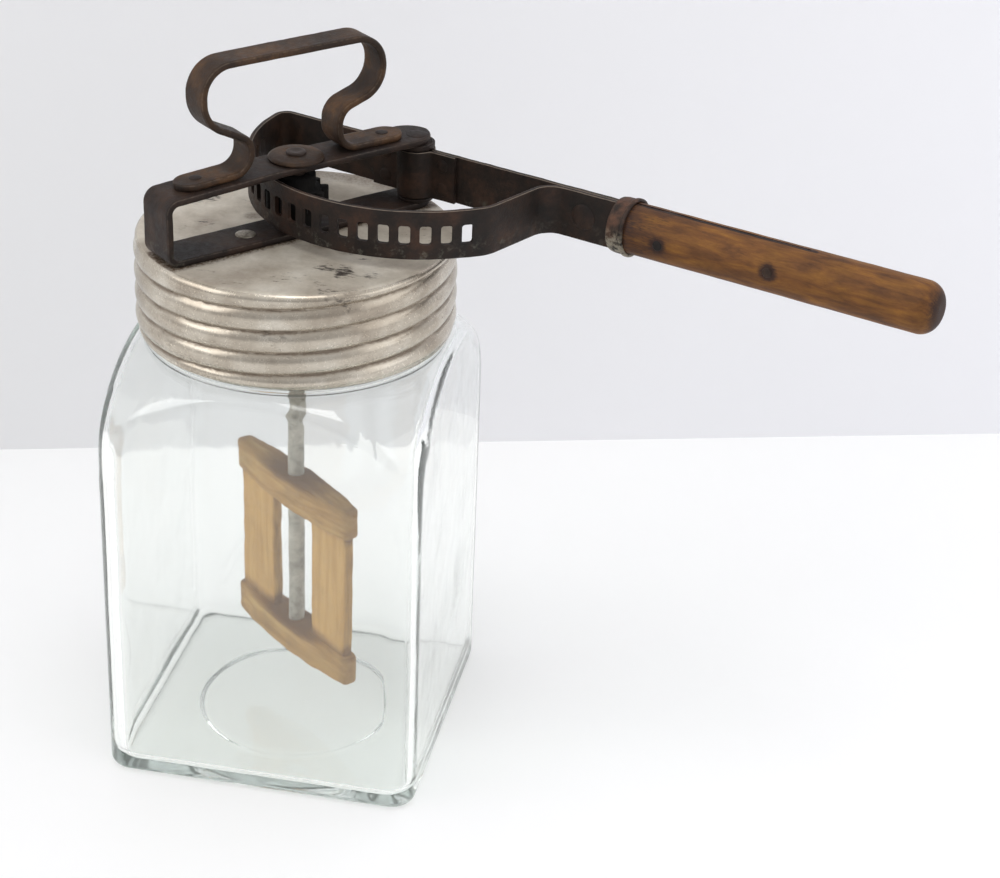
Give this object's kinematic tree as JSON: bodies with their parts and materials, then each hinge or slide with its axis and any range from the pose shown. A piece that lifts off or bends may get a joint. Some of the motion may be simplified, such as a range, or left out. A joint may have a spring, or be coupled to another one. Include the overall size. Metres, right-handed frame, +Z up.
{
  "type": "glass jar butter churn",
  "caption": "Hand churn: square glass jar with a ribbed screw lid, a swinging slotted lever with a wood handle that turns a pinion, rod and wooden paddle, and a strap carry grip.",
  "frame": {"origin": "on the floor under the centre of the jar, which is also the line of the dasher's rod", "axes": "+X along the jar's front face towards the handle's side, +Y from the jar's front to its back, +Z up along the rod"},
  "size_m": [0.3444, 0.1412, 0.3261],
  "materials": {
    "clear_glass": "clear pressed glass, smooth, a faint grey-green in its thick edges",
    "seal_rubber": "dull red rubber ring",
    "zinc_sheet": "dull rolled zinc sheet with dark stains",
    "plain_steel": "dull turned steel",
    "rusted_strap": "dark brown rusted steel strap",
    "rusted_iron": "dark rusted iron",
    "rivet_steel": "dull worn rivet steel",
    "galvanised_steel": "grey galvanised rod, dull",
    "handle_wood": "worn orange-brown turned hardwood",
    "paddle_wood": "pale bare wood, stained by use"
  },
  "bodies": {
    "jar": {"glass_jar": "clear_glass"},
    "seal": {"lid_seal": "seal_rubber"},
    "lid": {"screw_lid": "zinc_sheet", "lid_bush": "plain_steel", "gear_frame": "rusted_strap", "frame_rivets": "rivet_steel", "top_grip": "rusted_strap", "grip_rivets": "rivet_steel", "pivot_post": "rusted_iron", "pivot_washers": "rusted_iron"},
    "lever": {"lever_strap": "rusted_strap", "pivot_saddle": "rusted_strap", "saddle_rivets": "rivet_steel", "root_rivet": "rivet_steel", "ferrule": "rusted_iron", "wood_handle": "handle_wood", "handle_rivets": "rivet_steel"},
    "dasher": {"dasher_rod": "galvanised_steel", "pinion": "rusted_iron", "rod_pins": "plain_steel", "top_disc": "rusted_iron", "thrust_collar": "plain_steel", "top_rail": "paddle_wood", "bottom_rail": "paddle_wood", "left_slat": "paddle_wood", "right_slat": "paddle_wood"}
  },
  "joints": [
    {"name": "lid_rise", "type": "slide", "parent": "jar", "child": "seal", "axis": [0, 0, 1], "range_m": [0, 0.0196]},
    {"name": "lid_turn", "type": "hinge", "parent": "seal", "child": "lid", "pos_m": [0, 0, 0.22], "axis": [0, 0, 1], "range_deg": [0, 360]},
    {"name": "lever_swing", "type": "hinge", "parent": "lid", "child": "lever", "pos_m": [0.04232, 0.04159, 0.259], "axis": [0, 0, 1], "range_deg": [-60, 45]},
    {"name": "dasher_spin", "type": "hinge", "parent": "lid", "child": "dasher", "pos_m": [0, 0, 0.15], "axis": [0, 0, 1], "range_deg": [-350, 265]}
  ],
  "couplings": [
    {"joint": "lid_rise", "follows": "lid_turn", "m_per_rad": 0.0031194},
    {"joint": "dasher_spin", "follows": "lever_swing", "ratio": 5.7778}
  ]
}
